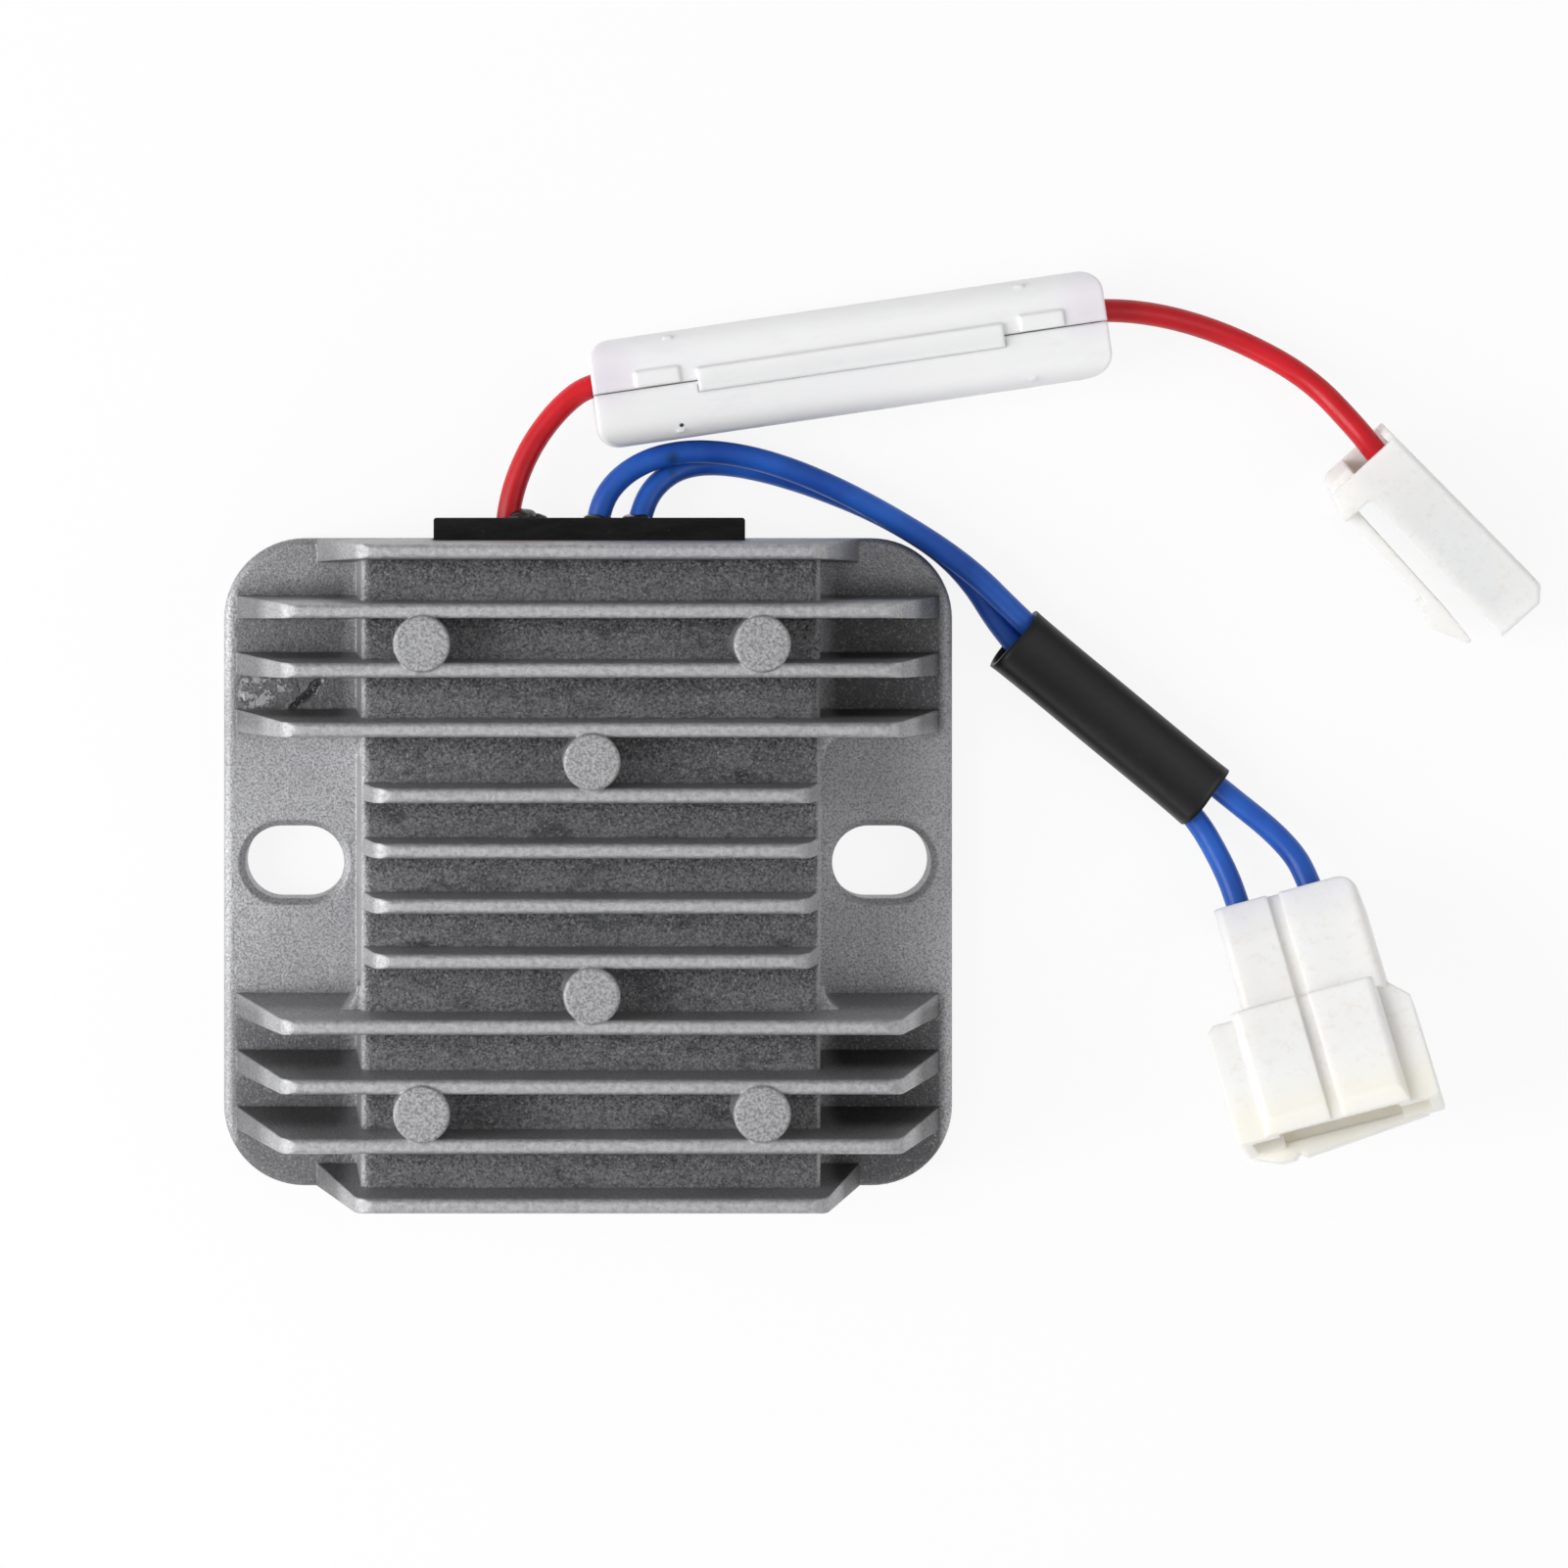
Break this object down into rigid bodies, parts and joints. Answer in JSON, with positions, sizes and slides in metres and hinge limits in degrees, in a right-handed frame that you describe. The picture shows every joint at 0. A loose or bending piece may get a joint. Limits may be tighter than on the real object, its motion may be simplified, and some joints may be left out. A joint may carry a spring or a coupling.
{
  "type": "automatic voltage regulator",
  "caption": "Automatic voltage regulator for a small generator: finned die-cast heat sink with slotted ears, potted circuit, and leads with a fuse holder and plug housings.",
  "frame": {"origin": "midway between the two mounting slots, on the back face of the mounting plate", "axes": "+Z out of the back face towards the fins, +X towards the right slot as seen from the fins, +Y towards the side where the leads come out"},
  "size_m": [0.1293, 0.09, 0.0206],
  "materials": {
    "cast_aluminium": "blasted die casting",
    "black_plastic": "slightly fibrous",
    "sealant": "glossy bead",
    "potting": "cast resin",
    "board": "satin",
    "device_black": "moulded",
    "resistor_coat": "satin",
    "diode_glass": "satin",
    "capacitor_coat": "dipped",
    "red_insulation": "soft gloss",
    "blue_insulation": "soft gloss",
    "milky_plastic": "translucent",
    "tinned_brass": "tinned",
    "fuse_glass": "clear",
    "fuse_metal": "nickel plated",
    "nylon": "translucent",
    "sleeve_black": "satin"
  },
  "bodies": {
    "regulator": {"heatsink_housing": "cast_aluminium", "wire_exit_plate": "black_plastic", "exit_sealant": "sealant", "potting_compound": "potting", "circuit_board": "board", "thyristor_a": "device_black", "thyristor_b": "device_black", "rectifier_diode_a": "device_black", "rectifier_diode_b": "device_black", "resistor_a": "resistor_coat", "resistor_b": "resistor_coat", "zener_diode": "diode_glass", "capacitor": "capacitor_coat", "red_lead_to_fuse": "red_insulation", "red_lead_to_connector": "red_insulation", "blue_lead_outer": "blue_insulation", "blue_lead_inner": "blue_insulation", "fuse_holder_body": "milky_plastic", "fuse_clip_a": "tinned_brass", "fuse_clip_b": "tinned_brass", "fuse_glass_tube": "fuse_glass", "fuse_wire": "fuse_metal", "fuse_cap_a": "fuse_metal", "fuse_cap_b": "fuse_metal", "single_connector_housing": "nylon", "single_connector_terminal": "tinned_brass", "shrink_sleeve": "sleeve_black", "double_connector_housing": "nylon", "blade_terminal_a": "tinned_brass", "blade_terminal_b": "tinned_brass"},
    "fuse_cover": {"fuse_holder_cover": "milky_plastic"}
  },
  "joints": [
    {"name": "fuse_cover_hinge", "type": "hinge", "parent": "regulator", "child": "fuse_cover", "pos_m": [0.02549, 0.04871, 0.00945], "axis": [0.9895, 0.1447, 0], "range_deg": [0, 140]}
  ]
}
